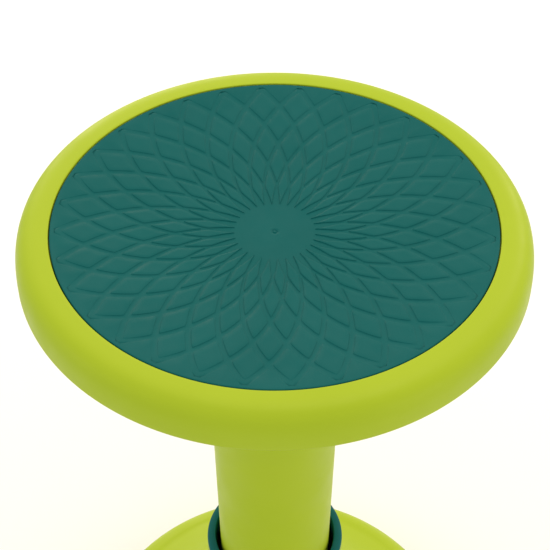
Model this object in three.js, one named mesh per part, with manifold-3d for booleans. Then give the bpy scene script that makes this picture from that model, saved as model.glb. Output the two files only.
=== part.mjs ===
// Height-adjustable wobble stool: a round dished seat with a soft inset pad, a tapered column sleeve that
// telescopes into a bell-shaped base, a lockable gas lift inside it, and a weighted base that rocks on a
// convex rubber foot. Millimetres, +Z up, origin on the floor at the centre of the foot. Seat fully raised.
import * as THREE from "three";
import { mergeVertices } from "three/addons/utils/BufferGeometryUtils.js";
import Module from "manifold-3d";

const wasm = await Module();
wasm.setup();

// ---------------------------------------------------------------- driving dimensions
const SEAT_TOP = 610; // floor to the flat ring round the pad, seat fully raised
const STROKE = 190; // gas lift travel
const SEAT_RADIUS = 178;
const CROWN_RADIUS = 157; // where the rim starts to curve down
const CROWN_POWER = 3.3; // superellipse power of the rim: 2 is an ellipse, more is squarer
const RECESS_RADIUS = 154; // wall of the pocket that holds the pad
const PAD_RADIUS = 153.2;
const PAD_THICKNESS = 6;
const DISH = 10.5; // how far the middle of the seat is lower than its edge
const SKIRT = 46; // depth of the lip that the seat's side turns in to
const LIP_RADIUS = 152;
const SKIRT_EQUATOR = 27; // depth at which the side is widest
const WALL = 3.5; // moulded wall
const GAP = 0.3; // between faces that touch

const HUB_FACE = 54; // depth of the flat middle of the seat's underside
const SLEEVE_TOP_RADIUS = 51.5;
const SLEEVE_TAPER = 0.0157; // radius lost per millimetre of length
const SLEEVE_BOTTOM = 225; // height of the sleeve's lower end above the floor
const SLEEVE_WALL = 3;
const FLANGE_RADIUS = 67; // flange at the sleeve's top end
const FLANGE_THICKNESS = 4;

const COLLAR_HEIGHT = 242; // mouth of the base
const COLLAR_BORE = 50.6; // tightest radius of the ring that the sleeve slides through
const COLLAR_DEPTH = 14; // how far that ring reaches into the mouth
const BASE_RADIUS = 176;
const SEAM_HEIGHT = 36; // where the base shell meets the pan
const FOOT_RADIUS = 150.9;
const FOOT_FLAT = 45; // radius of the flat middle that the stool stands on
const FOOT_THICKNESS = 5;
const ROCKER_RADIUS = 420; // curve of the foot outside its flat middle
const HUB_BOTTOM = 12.3;
const HUB_RADIUS = 60;
const HUB_TOP = 105;
const BALLAST_INNER = 72;
const BALLAST_OUTER = 134;
const BALLAST_BOTTOM = 26;
const BALLAST_TOP = 40;

const TUBE_RADIUS = 25; // stand tube of the gas lift
const TUBE_BOTTOM = 30;
const TUBE_TOP = 310;
const TUBE_WALL = 2.4;
const CYLINDER_RADIUS = 14;
const CYLINDER_BORE = 11.5;
const CYLINDER_BOTTOM = TUBE_BOTTOM + 24 + STROKE; // 24 mm of bearing and bump stop below it at the lowest
const CYLINDER_TOP = 565;
const PLATE_TOP = SEAT_TOP - 43;
const PLATE_THICKNESS = 3;
const PLATE_BOTTOM = PLATE_TOP - PLATE_THICKNESS;
const PLATE_RADIUS = 74;
const SOCKET_RADIUS = 19; // outside of the socket under the plate that grips the cylinder's taper
const SOCKET_BOTTOM = SEAT_TOP - 90;
const PIVOT_X = 24; // lever pivot from the seat's axis
const PIVOT_HEIGHT = SEAT_TOP - 33;
const LEVER_LENGTH = 104;
const PIVOT_PIN_RADIUS = 1.9;
const ARM_RADIUS = 4;
const ARM_BOSS_RADIUS = 6.2; // boss of the arm round its pivot
const PADDLE_WIDTH = 34;

const ROUND = 36; // facets of large turned pieces
const FINE = 20; // facets of the gas lift's pieces
const SMALL = 8; // facets of screws and holes

// ---------------------------------------------------------------- shape helpers
function merged(geometry) {
  const g = geometry.clone();
  g.deleteAttribute("normal");
  g.deleteAttribute("uv");
  return mergeVertices(g, 1e-3);
}

function solidOf(geometry) {
  const g = merged(geometry);
  return new wasm.Manifold(
    new wasm.Mesh({
      numProp: 3,
      vertProperties: new Float32Array(g.attributes.position.array),
      triVerts: new Uint32Array(g.index.array),
    }),
  );
}

function geometryOf(solid) {
  const mesh = solid.getMesh();
  const g = new THREE.BufferGeometry();
  g.setAttribute("position", new THREE.BufferAttribute(new Float32Array(mesh.vertProperties), 3));
  g.setIndex(new THREE.BufferAttribute(new Uint32Array(mesh.triVerts), 1));
  g.computeVertexNormals();
  return g;
}

// A closed outline of [radius, height] points, counter-clockwise, turned about Z.
function turned(outline, facets = ROUND) {
  const onAxis = outline.some(([r]) => r === 0);
  const points = outline.map(([r, z]) => new THREE.Vector2(r, z));
  if (!onAxis) points.push(points[0].clone());
  return new THREE.LatheGeometry(points, facets).rotateX(Math.PI / 2);
}

function turnedSolid(outline, facets = ROUND) {
  return solidOf(turned(outline, facets));
}

function disc(radius, bottom, top, x = 0, y = 0, facets = SMALL) {
  const g = new THREE.CylinderGeometry(radius, radius, top - bottom, facets);
  return solidOf(g.rotateX(Math.PI / 2).translate(x, y, (top + bottom) / 2));
}

function block(x0, x1, y0, y1, z0, z1) {
  const g = new THREE.BoxGeometry(x1 - x0, y1 - y0, z1 - z0);
  return solidOf(g.translate((x0 + x1) / 2, (y0 + y1) / 2, (z0 + z1) / 2));
}

// A round bar along X or Y.
function bar(axis, radius, from, to, a, z, facets = SMALL) {
  const g = new THREE.CylinderGeometry(radius, radius, to - from, facets);
  const middle = (from + to) / 2;
  if (axis === "x") g.rotateZ(Math.PI / 2).translate(middle, a, z);
  else g.translate(a, middle, z);
  return solidOf(g);
}

// Points on a superellipse from angle a0 to a1, in degrees from 0 to 90, both ends included.
// Power 2 is an ellipse.
function arc(cr, cz, rr, rz, a0, a1, steps, power = 2) {
  return Array.from({ length: steps + 1 }, (_, i) => {
    const a = THREE.MathUtils.degToRad(a0 + ((a1 - a0) * i) / steps);
    const across = Math.max(0, Math.cos(a)) ** (2 / power);
    const up = Math.max(0, Math.sin(a)) ** (2 / power);
    return [cr + rr * across, cz + rz * up];
  });
}

function bezier(points, steps) {
  const curve = new THREE.CubicBezierCurve(...points.map(([r, z]) => new THREE.Vector2(r, z)));
  return curve.getPoints(steps).map((p) => [p.x, p.y]);
}

// Places at equal angles round the axis: [x, y, angle in radians].
function around(count, radius, firstDegrees = 0) {
  return Array.from({ length: count }, (_, i) => {
    const a = THREE.MathUtils.degToRad(firstDegrees + (360 * i) / count);
    return [radius * Math.cos(a), radius * Math.sin(a), a];
  });
}

// ---------------------------------------------------------------- fasteners and their places
// Radius of the shank, its length, radius of the head, height of the head.
const PLATE_BOLT = { shank: 2.9, length: 18, head: 5, headHeight: 3.6 };
const SLEEVE_SCREW = { shank: 2.3, length: 15.5, head: 4.4, headHeight: 2.8 };
const UNDERSIDE_SCREW = { shank: 1.8, length: 12, head: 3.8, headHeight: 2.4 };
const HUB_BOLT = { shank: 2.9, length: 9, head: 6, headHeight: 3.2 };
const BALLAST_SCREW = { shank: 2.3, length: 20, head: 4.6, headHeight: 3 };
const BASE_SCREW = { shank: 1.8, length: 16, head: 4, headHeight: 2.2 };

const PLATE_BOLT_CIRCLE = 58;
const UNDERSIDE_SCREW_CIRCLE = 138;
const PAD_STUD_CIRCLE = 120;
const PLATE_BOLTS = around(4, PLATE_BOLT_CIRCLE, 45);
const SLEEVE_SCREWS = around(4, 61);
const UNDERSIDE_SCREWS = around(6, UNDERSIDE_SCREW_CIRCLE, 30);
const PAD_STUDS = around(6, PAD_STUD_CIRCLE);
const HUB_BOLTS = around(4, 50, 45);
const BALLAST_SCREWS = around(3, 103);
const BASE_SCREWS = around(6, 156, 30);

// A screw pointing up from its head, standing with the head's face at z = 0.
function screw({ shank, length, head, headHeight }) {
  const tip = headHeight + length;
  return turned([[0, 0], [head, 0], [head, headHeight], [shank, headHeight], [shank, tip], [0, tip]], SMALL);
}

// The same body with a hole of that radius through it, from bottom to top, at each place.
function drilled(body, places, radius, bottom, top) {
  return places.reduce((rest, [x, y]) => rest.subtract(disc(radius, bottom, top, x, y)), body);
}

// ---------------------------------------------------------------- seat
// Height of the dished surface that lies `below` the ring at its edge.
const dished = (r, below) => SEAT_TOP - below - DISH * (1 - (r / RECESS_RADIUS) ** 2);
const dishPoints = (from, to, below, steps) =>
  Array.from({ length: steps + 1 }, (_, i) => {
    const r = from + ((to - from) * i) / steps;
    return [r, dished(r, below)];
  });

const PAD_DROP = 0.3; // pad edge below the ring
const DECK_DROP = PAD_DROP + PAD_THICKNESS + GAP;
const STUD_HOLE = 4.4; // radius of the deck's holes, which the pad's barbed studs are pushed through
const POCKET_WALL = 3.2; // wall between the pad's pocket and the hollow rim
const RIB_THICKNESS = 3;
const RIB_BOTTOM = SEAT_TOP - 22;
const RING_RIB_RADIUS = 60;

// Height of the shallow cone under the seat, its outer face.
const CONE_EDGE = LIP_RADIUS - 2.7;
const CONE_EDGE_DEPTH = SKIRT - 0.6;
const HUB_FACE_RADIUS = 70;
const CONE_SLOPE = (HUB_FACE - CONE_EDGE_DEPTH) / (CONE_EDGE - HUB_FACE_RADIUS);
const coneHeight = (r) => SEAT_TOP - CONE_EDGE_DEPTH - (CONE_EDGE - r) * CONE_SLOPE;

// The seat's side below its widest point, turning in to the lip.
function turnIn(inset, steps) {
  const widest = SEAT_RADIUS - inset;
  const equator = SEAT_TOP - SKIRT_EQUATOR;
  return bezier(
    [
      [widest, equator],
      [widest, equator - 4.5 + inset * 0.4],
      [LIP_RADIUS + 11 - inset * 0.56, SEAT_TOP - SKIRT + 7.5 + inset * 0.83],
      [LIP_RADIUS - inset * 0.56, SEAT_TOP - SKIRT + inset * 0.83],
    ],
    steps,
  );
}

// The crowned rim, from the widest point of the side up to where the rim is flat.
function rimArc(inset, steps) {
  const across = SEAT_RADIUS - CROWN_RADIUS - inset;
  return arc(CROWN_RADIUS, SEAT_TOP - SKIRT_EQUATOR, across, SKIRT_EQUATOR - inset, 0, 90, steps, CROWN_POWER);
}

function seatPad() {
  let pad = turnedSolid([
    ...dishPoints(0, PAD_RADIUS - 2, PAD_DROP + PAD_THICKNESS, 3),
    [PAD_RADIUS, SEAT_TOP - PAD_DROP - PAD_THICKNESS],
    [PAD_RADIUS, SEAT_TOP - PAD_DROP - 0.8],
    [PAD_RADIUS - 0.4, SEAT_TOP - PAD_DROP - 0.15],
    ...dishPoints(PAD_RADIUS - 1.2, 0, PAD_DROP, 3),
  ]);
  for (const [x, y] of PAD_STUDS) {
    const shank = STUD_HOLE - 0.4;
    const barb = STUD_HOLE + 0.6;
    const top = dished(PAD_STUD_CIRCLE, PAD_DROP + PAD_THICKNESS / 2);
    const deckUnder = dished(PAD_STUD_CIRCLE, DECK_DROP + WALL) - 2 * GAP;
    const tip = deckUnder - 4;
    const stud = turnedSolid(
      [[0, tip], [shank - 0.6, tip], [barb, deckUnder], [shank, deckUnder], [shank, top], [0, top]],
      SMALL,
    );
    pad = pad.add(stud.translate([x, y, 0]));
  }
  return pad;
}

function seatShell() {
  const inner = RECESS_RADIUS + POCKET_WALL;
  const under = DECK_DROP + WALL;
  let shell = turnedSolid([
    ...dishPoints(0, RECESS_RADIUS - 1, under, 3),
    [inner, SEAT_TOP - under],
    [inner, SEAT_TOP - WALL],
    ...rimArc(WALL, 4).reverse().slice(1),
    ...turnIn(WALL, 4).slice(1),
    [LIP_RADIUS - 2.4, SEAT_TOP - SKIRT + 2],
    [LIP_RADIUS - 2.4, SEAT_TOP - SKIRT + 0.7],
    [LIP_RADIUS - 1.6, SEAT_TOP - SKIRT],
    ...turnIn(0, 5).reverse(),
    ...rimArc(0, 7).slice(1),
    [RECESS_RADIUS + 0.6, SEAT_TOP],
    [RECESS_RADIUS, SEAT_TOP - 0.6],
    ...dishPoints(RECESS_RADIUS, 0, DECK_DROP, 3),
  ]);
  const aboveDeck = turnedSolid([...dishPoints(0, 160, DECK_DROP + 1, 3), [160, SEAT_TOP], [0, SEAT_TOP]]);
  const half = RIB_THICKNESS / 2;
  const ribTop = SEAT_TOP - DECK_DROP - WALL / 2;
  for (const [, , a] of around(8, 1, 22.5)) {
    const rib = block(RING_RIB_RADIUS + 1, inner + 0.8, -half, half, RIB_BOTTOM, ribTop);
    shell = shell.add(rib.subtract(aboveDeck).rotate([0, 0, THREE.MathUtils.radToDeg(a)]));
  }
  const ringOuter = RING_RIB_RADIUS + RIB_THICKNESS;
  shell = shell.add(
    turnedSolid([
      [RING_RIB_RADIUS, RIB_BOTTOM],
      [ringOuter, RIB_BOTTOM],
      [ringOuter, dished(ringOuter, DECK_DROP + 2)],
      [RING_RIB_RADIUS, dished(RING_RIB_RADIUS, DECK_DROP + 2)],
    ]),
  );
  for (const [x, y] of PLATE_BOLTS) {
    shell = shell.add(disc(8, PLATE_TOP + GAP, dished(PLATE_BOLT_CIRCLE, DECK_DROP + 1), x, y));
  }
  const screwFace = coneHeight(UNDERSIDE_SCREW_CIRCLE);
  for (const [x, y] of UNDERSIDE_SCREWS) {
    shell = shell.add(disc(4.5, screwFace + 4 + GAP, SEAT_TOP - DECK_DROP - 3, x, y));
  }
  shell = drilled(shell, PLATE_BOLTS, PLATE_BOLT.shank + GAP, PLATE_TOP - 1, PLATE_TOP + 17);
  shell = drilled(shell, UNDERSIDE_SCREWS, UNDERSIDE_SCREW.shank + GAP, screwFace, screwFace + 16);
  return drilled(shell, PAD_STUDS, STUD_HOLE, SEAT_TOP - 30, SEAT_TOP);
}

const COVER_THICKNESS = 3;
const COVER_BORE = 44;
const LEVER_SLOT = { start: 84, end: 124, halfWidth: 21 };

function seatUnderside() {
  const face = SEAT_TOP - HUB_FACE;
  const screwFace = coneHeight(UNDERSIDE_SCREW_CIRCLE);
  let cover = turnedSolid([
    [COVER_BORE, face],
    [HUB_FACE_RADIUS, face],
    [CONE_EDGE, coneHeight(CONE_EDGE)],
    [CONE_EDGE, coneHeight(CONE_EDGE) + COVER_THICKNESS],
    [HUB_FACE_RADIUS, face + COVER_THICKNESS],
    [COVER_BORE, face + COVER_THICKNESS],
  ]);
  for (const [x, y] of SLEEVE_SCREWS) cover = cover.add(disc(6, face + 1, PLATE_BOTTOM - GAP, x, y));
  for (const [x, y] of UNDERSIDE_SCREWS) cover = cover.add(disc(5.5, screwFace + 1.5, screwFace + 4, x, y));
  cover = drilled(cover, SLEEVE_SCREWS, SLEEVE_SCREW.shank + 0.5, face - 1, PLATE_TOP);
  cover = drilled(cover, UNDERSIDE_SCREWS, UNDERSIDE_SCREW.shank + 0.5, screwFace - 4, screwFace + 10);
  cover = drilled(cover, UNDERSIDE_SCREWS, UNDERSIDE_SCREW.head + 0.5, screwFace - 4, screwFace + 1.9);
  const { start, end, halfWidth } = LEVER_SLOT;
  return cover.subtract(block(start, end, -halfWidth, halfWidth, face - 6, face + 24));
}

// Pressed steel plate with the taper socket for the gas lift and two ears for the lever's pivot.
function seatPlate() {
  let plate = turnedSolid([
    [taperRadius(SOCKET_BOTTOM) + 0.15, SOCKET_BOTTOM],
    [SOCKET_RADIUS, SOCKET_BOTTOM],
    [SOCKET_RADIUS, PLATE_BOTTOM],
    [PLATE_RADIUS, PLATE_BOTTOM],
    [PLATE_RADIUS, PLATE_TOP],
    [taperRadius(PLATE_TOP) + 0.15, PLATE_TOP],
  ]);
  for (const side of [-1, 1]) {
    const middle = side * 6.75;
    const ear = block(PIVOT_X - 7, PIVOT_X + 7, middle - 1.25, middle + 1.25, PLATE_TOP - 1, PIVOT_HEIGHT + 6);
    plate = plate.add(ear);
  }
  plate = plate.subtract(bar("y", PIVOT_PIN_RADIUS + 0.2, -12, 12, PIVOT_X, PIVOT_HEIGHT));
  plate = drilled(plate, PLATE_BOLTS, PLATE_BOLT.shank + 0.4, PLATE_BOTTOM - 1, PLATE_TOP + 1);
  return drilled(plate, SLEEVE_SCREWS, SLEEVE_SCREW.shank + GAP, PLATE_BOTTOM - 1, PLATE_TOP + 1);
}

// ---------------------------------------------------------------- column sleeve
const SLEEVE_TOP = SEAT_TOP - HUB_FACE - GAP;
const sleeveRadius = (z) => SLEEVE_TOP_RADIUS - (SLEEVE_TOP - z) * SLEEVE_TAPER;

function columnSleeve() {
  const below = SLEEVE_TOP - FLANGE_THICKNESS;
  const sleeve = turnedSolid([
    [sleeveRadius(SLEEVE_BOTTOM) - SLEEVE_WALL, SLEEVE_BOTTOM],
    [sleeveRadius(SLEEVE_BOTTOM) - 0.8, SLEEVE_BOTTOM],
    [sleeveRadius(SLEEVE_BOTTOM), SLEEVE_BOTTOM + 0.8],
    [sleeveRadius(below - 5), below - 5],
    [sleeveRadius(below) + 1.4, below - 1.4],
    [sleeveRadius(below) + 5, below],
    [FLANGE_RADIUS, below],
    [FLANGE_RADIUS, SLEEVE_TOP],
    [sleeveRadius(SLEEVE_TOP) - SLEEVE_WALL, SLEEVE_TOP],
  ]);
  return drilled(sleeve, SLEEVE_SCREWS, SLEEVE_SCREW.shank + 0.5, below - 1, SLEEVE_TOP + 1);
}

// ---------------------------------------------------------------- gas lift
const TAPER_START = SEAT_TOP - 92;
const TAPER = 0.015; // radius lost per millimetre of the cylinder's tapered end
function taperRadius(z) {
  return CYLINDER_RADIUS - Math.max(0, z - TAPER_START) * TAPER;
}

const PIN_RADIUS = 3;
const PIN_TOP = PIVOT_HEIGHT - ARM_RADIUS - GAP;

function liftCylinder() {
  return turned(
    [
      [CYLINDER_BORE, CYLINDER_BOTTOM],
      [CYLINDER_RADIUS - 0.5, CYLINDER_BOTTOM],
      [CYLINDER_RADIUS, CYLINDER_BOTTOM + 0.5],
      [CYLINDER_RADIUS, TAPER_START],
      [taperRadius(CYLINDER_TOP), CYLINDER_TOP],
      [CYLINDER_BORE, CYLINDER_TOP],
    ],
    FINE,
  );
}

function valveBody() {
  const outer = CYLINDER_BORE - 0.2;
  return turned(
    [
      [0, CYLINDER_TOP - 26],
      [outer, CYLINDER_TOP - 26],
      [outer, CYLINDER_TOP - 0.5],
      [PIN_RADIUS + 0.2, CYLINDER_TOP - 0.5],
      [PIN_RADIUS + 0.2, CYLINDER_TOP - 23],
      [0, CYLINDER_TOP - 23],
    ],
    FINE,
  );
}

function releasePin() {
  return turned(
    [
      [0, CYLINDER_TOP - 19],
      [PIN_RADIUS, CYLINDER_TOP - 19],
      [PIN_RADIUS, PIN_TOP - 0.6],
      [PIN_RADIUS - 0.6, PIN_TOP],
      [0, PIN_TOP],
    ],
    SMALL,
  );
}

function ringOf(inner, outer, bottom, top, facets = FINE) {
  return turned([[inner, bottom], [outer, bottom], [outer, top], [inner, top]], facets);
}

const PISTON_BOTTOM = CYLINDER_BOTTOM + 32;
const PISTON_TOP = PISTON_BOTTOM + 14;
const ROD_SHOULDER = TUBE_BOTTOM + 13.3;
const ROD_RADIUS = 5;
const NECK_RADIUS = 4; // the rod's lower end, below its shoulder
const GROOVE_RADIUS = 3.2; // of the neck's groove for the clip
const GROOVE_BOTTOM = 27.9;
const GROOVE_TOP = 29.8;
const PISTON_BORE = 3.7;
const PISTON_GROOVE = 9.4;

function pistonRod() {
  return turned(
    [
      [0, 23],
      [NECK_RADIUS - 0.6, 23],
      [NECK_RADIUS, 23.6],
      [NECK_RADIUS, GROOVE_BOTTOM],
      [GROOVE_RADIUS, GROOVE_BOTTOM],
      [GROOVE_RADIUS, GROOVE_TOP],
      [NECK_RADIUS, GROOVE_TOP],
      [NECK_RADIUS, ROD_SHOULDER],
      [ROD_RADIUS, ROD_SHOULDER],
      [ROD_RADIUS, PISTON_BOTTOM - GAP],
      [PISTON_BORE - 0.2, PISTON_BOTTOM - GAP],
      [PISTON_BORE - 0.2, PISTON_TOP + GAP],
      [ROD_RADIUS + 0.5, PISTON_TOP + GAP],
      [ROD_RADIUS - 0.5, PISTON_TOP + 3],
      [0, PISTON_TOP + 3],
    ],
    FINE,
  );
}

function piston() {
  const outer = CYLINDER_BORE - 0.4;
  return turned(
    [
      [PISTON_BORE, PISTON_BOTTOM],
      [outer, PISTON_BOTTOM],
      [outer, PISTON_BOTTOM + 5],
      [PISTON_GROOVE, PISTON_BOTTOM + 5],
      [PISTON_GROOVE, PISTON_BOTTOM + 9],
      [outer, PISTON_BOTTOM + 9],
      [outer, PISTON_TOP],
      [PISTON_BORE, PISTON_TOP],
    ],
    FINE,
  );
}

function retainingClip() {
  const ring = solidOf(ringOf(GROOVE_RADIUS + GAP, 8.5, GROOVE_BOTTOM + GAP, GROOVE_TOP - GAP));
  return ring.subtract(block(0, 12, -2, 2, GROOVE_BOTTOM - 2, GROOVE_TOP + 2));
}

function standTube() {
  const bore = TUBE_RADIUS - TUBE_WALL;
  const hole = NECK_RADIUS + 0.4;
  return turned(
    [
      [hole, TUBE_BOTTOM],
      [TUBE_RADIUS - 1.2, TUBE_BOTTOM],
      [TUBE_RADIUS, TUBE_BOTTOM + 80],
      [TUBE_RADIUS, TUBE_TOP],
      [bore, TUBE_TOP],
      [bore, TUBE_BOTTOM + 80],
      [bore - 1.2, TUBE_BOTTOM + 4],
      [hole, TUBE_BOTTOM + 4],
    ],
    FINE,
  );
}

function guideBush() {
  const bore = CYLINDER_RADIUS + 0.3;
  const outer = TUBE_RADIUS - TUBE_WALL - 0.1;
  return turned(
    [
      [bore, TUBE_TOP - 60],
      [outer, TUBE_TOP - 60],
      [outer, TUBE_TOP + GAP],
      [TUBE_RADIUS, TUBE_TOP + GAP],
      [TUBE_RADIUS - 0.8, TUBE_TOP + 3.5],
      [bore, TUBE_TOP + 3.5],
    ],
    FINE,
  );
}

// Cage of the thrust bearing with its eight balls standing proud of both faces.
function bearingCage() {
  const middle = TUBE_BOTTOM + 8.3;
  let cage = solidOf(ringOf(7, 17, middle - 0.8, middle + 0.8));
  for (const [x, y] of around(8, 12)) {
    const ball = solidOf(new THREE.SphereGeometry(1.75, 6, 4).rotateX(Math.PI / 2));
    cage = cage.add(ball.translate([x, y, middle]));
  }
  return cage;
}

// ---------------------------------------------------------------- base
function baseHub() {
  const hub = turnedSolid([
    [TUBE_RADIUS - 1, HUB_BOTTOM],
    [HUB_RADIUS, HUB_BOTTOM],
    [HUB_RADIUS, HUB_BOTTOM + 6.7],
    [40, HUB_BOTTOM + 7.5],
    [36.5, HUB_BOTTOM + 12],
    [31, HUB_TOP],
    [TUBE_RADIUS + 0.15, HUB_TOP],
    [TUBE_RADIUS - 1, TUBE_BOTTOM],
  ]);
  return drilled(hub, HUB_BOLTS, HUB_BOLT.shank + 0.2, 0, 40);
}

const MOUTH_RADIUS = 57.5;
const SHOULDER_RADIUS = 152; // where the bell turns down to its side
const BOSS_BOTTOM = 26; // lower end of the base shell's screw bosses

// The bell from its mouth to its widest point; `inset` moves the line inwards for the inner face.
function bell(inset, steps) {
  return [
    ...bezier(
      [
        [MOUTH_RADIUS - inset, COLLAR_HEIGHT],
        [62 - inset, 128 - inset],
        [100 - inset, 92 - inset],
        [SHOULDER_RADIUS - inset, 72 - inset],
      ],
      steps,
    ),
    ...arc(SHOULDER_RADIUS - inset, 44, BASE_RADIUS - SHOULDER_RADIUS, 28 - inset, 70, 0, 2),
  ];
}

function baseShell() {
  let shell = turnedSolid([
    [BASE_RADIUS - 3, SEAM_HEIGHT],
    ...bell(0, 7).reverse(),
    ...bell(WALL, 5),
    [BASE_RADIUS - 3 - WALL, SEAM_HEIGHT],
  ]);
  for (const [x, y] of BASE_SCREWS) shell = shell.add(disc(4.5, BOSS_BOTTOM, 69, x, y));
  return drilled(shell, BASE_SCREWS, BASE_SCREW.shank + GAP, 20, BOSS_BOTTOM + 16);
}

function rocker(offset, from, to, steps) {
  const radius = ROCKER_RADIUS - offset;
  return Array.from({ length: steps + 1 }, (_, i) => {
    const r = from + ((to - from) * i) / steps;
    return [r, ROCKER_RADIUS - Math.sqrt(radius ** 2 - (r - FOOT_FLAT) ** 2)];
  });
}

function basePan() {
  const skin = FOOT_THICKNESS + GAP;
  const floor = 12;
  const pocket = FOOT_RADIUS + GAP;
  const rim = BASE_RADIUS - 3;
  let pan = turnedSolid([
    [0, skin],
    ...rocker(skin, FOOT_FLAT, pocket, 3),
    [pocket, 14.2],
    [158, 17.6],
    [165.5, 23.4],
    [170.6, 30],
    [rim, SEAM_HEIGHT - GAP],
    [rim - WALL, SEAM_HEIGHT - GAP],
    [166.4, 31],
    [161.5, 25.6],
    [154, 22.4],
    ...rocker(skin + WALL, 148, 66, 3),
    [62, floor],
    [0, floor],
  ]);
  for (const [x, y] of BALLAST_SCREWS) pan = pan.add(disc(7, floor, BALLAST_BOTTOM - GAP, x, y));
  pan = drilled(pan, HUB_BOLTS, HUB_BOLT.shank + 0.4, 0, 20);
  pan = drilled(pan, HUB_BOLTS, HUB_BOLT.head + 0.4, 0, 9);
  pan = drilled(pan, BALLAST_SCREWS, BALLAST_SCREW.shank + GAP, 16, 40);
  pan = drilled(pan, BASE_SCREWS, BASE_SCREW.shank + 0.5, 10, 30);
  return drilled(pan, BASE_SCREWS, BASE_SCREW.head + 0.4, 10, 20);
}

function ballastRing() {
  const ring = turnedSolid([
    [BALLAST_INNER, BALLAST_BOTTOM],
    [BALLAST_OUTER - 1, BALLAST_BOTTOM],
    [BALLAST_OUTER, BALLAST_BOTTOM + 1],
    [BALLAST_OUTER, BALLAST_TOP - 1],
    [BALLAST_OUTER - 1, BALLAST_TOP],
    [BALLAST_INNER, BALLAST_TOP],
  ]);
  return drilled(ring, BALLAST_SCREWS, BALLAST_SCREW.shank + 0.7, 20, 50);
}

function rubberFoot() {
  return turned([
    [0, 0],
    ...rocker(0, FOOT_FLAT, FOOT_RADIUS, 4),
    ...rocker(FOOT_THICKNESS, FOOT_RADIUS, FOOT_FLAT, 4),
    [0, FOOT_THICKNESS],
  ]);
}

function dustCollar() {
  const plug = MOUTH_RADIUS - WALL - GAP;
  return turned([
    [COLLAR_BORE + 0.3, COLLAR_HEIGHT - COLLAR_DEPTH],
    [plug, COLLAR_HEIGHT - COLLAR_DEPTH],
    [plug, COLLAR_HEIGHT + GAP],
    [MOUTH_RADIUS, COLLAR_HEIGHT + GAP],
    [MOUTH_RADIUS + 0.6, COLLAR_HEIGHT + 2],
    [MOUTH_RADIUS - 1.4, COLLAR_HEIGHT + 4.5],
    [COLLAR_BORE + 1.4, COLLAR_HEIGHT + 5.5],
    [COLLAR_BORE, COLLAR_HEIGHT + 4],
  ]);
}

// ---------------------------------------------------------------- release lever
function leverArm() {
  const nose = bar("y", ARM_RADIUS, -5, 5, 0, PIVOT_HEIGHT, FINE);
  const boss = bar("y", ARM_BOSS_RADIUS, -5.2, 5.2, PIVOT_X, PIVOT_HEIGHT, FINE);
  const arm = bar("x", ARM_RADIUS, -2, LEVER_LENGTH, 0, PIVOT_HEIGHT).add(nose).add(boss);
  return arm.subtract(bar("y", PIVOT_PIN_RADIUS + 0.4, -10, 10, PIVOT_X, PIVOT_HEIGHT));
}

function leverPaddle() {
  const shape = new THREE.Shape();
  shape.moveTo(88, PIVOT_HEIGHT - 7);
  shape.lineTo(93, PIVOT_HEIGHT - 9);
  shape.lineTo(95, SEAT_TOP - 59);
  shape.quadraticCurveTo(94, SEAT_TOP - 64, 99, SEAT_TOP - 64);
  shape.lineTo(115, SEAT_TOP - 65);
  shape.quadraticCurveTo(118.5, SEAT_TOP - 64.5, 117.5, SEAT_TOP - 62);
  shape.lineTo(103, SEAT_TOP - 60);
  shape.lineTo(102, PIVOT_HEIGHT - 9);
  shape.lineTo(108, PIVOT_HEIGHT - 7);
  shape.lineTo(108, PIVOT_HEIGHT + 7);
  shape.lineTo(88, PIVOT_HEIGHT + 7);
  const g = new THREE.ExtrudeGeometry(shape, { depth: PADDLE_WIDTH, bevelEnabled: false, curveSegments: 4 });
  const paddle = solidOf(g.rotateX(Math.PI / 2).translate(0, PADDLE_WIDTH / 2, 0));
  return paddle.subtract(bar("x", ARM_RADIUS + GAP, 80, LEVER_LENGTH + GAP, 0, PIVOT_HEIGHT));
}

// ---------------------------------------------------------------- materials
const material = (color, roughness, metalness = 0) =>
  new THREE.MeshStandardMaterial({ color, roughness, metalness });
const limePlastic = material(0xb4c92f, 0.45);
const tealRubber = material(0x2a6e68, 0.6);
const darkRubber = material(0x22282a, 0.8);
const steel = material(0x9da1a4, 0.35, 0.9);
const blackSteel = material(0x25272a, 0.4, 0.4);
const chrome = material(0xd8dadc, 0.15, 1);
const castIron = material(0x4a4c4e, 0.7, 0.6);
const naturalNylon = material(0xe6e2d6, 0.5);
const blackPlastic = material(0x1f2123, 0.5);

// ---------------------------------------------------------------- assembly
const stool = new THREE.Group();

function place(name, shape, look, x = 0, y = 0, z = 0) {
  const geometry = shape.isBufferGeometry ? shape : geometryOf(shape);
  const mesh = new THREE.Mesh(geometry, look);
  mesh.name = name;
  mesh.position.set(x, y, z);
  stool.add(mesh);
}

function placeScrews(name, places, shape, z) {
  places.forEach(([x, y], i) => place(`${name}_${i + 1}`, shape, steel, x, y, z));
}

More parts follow.
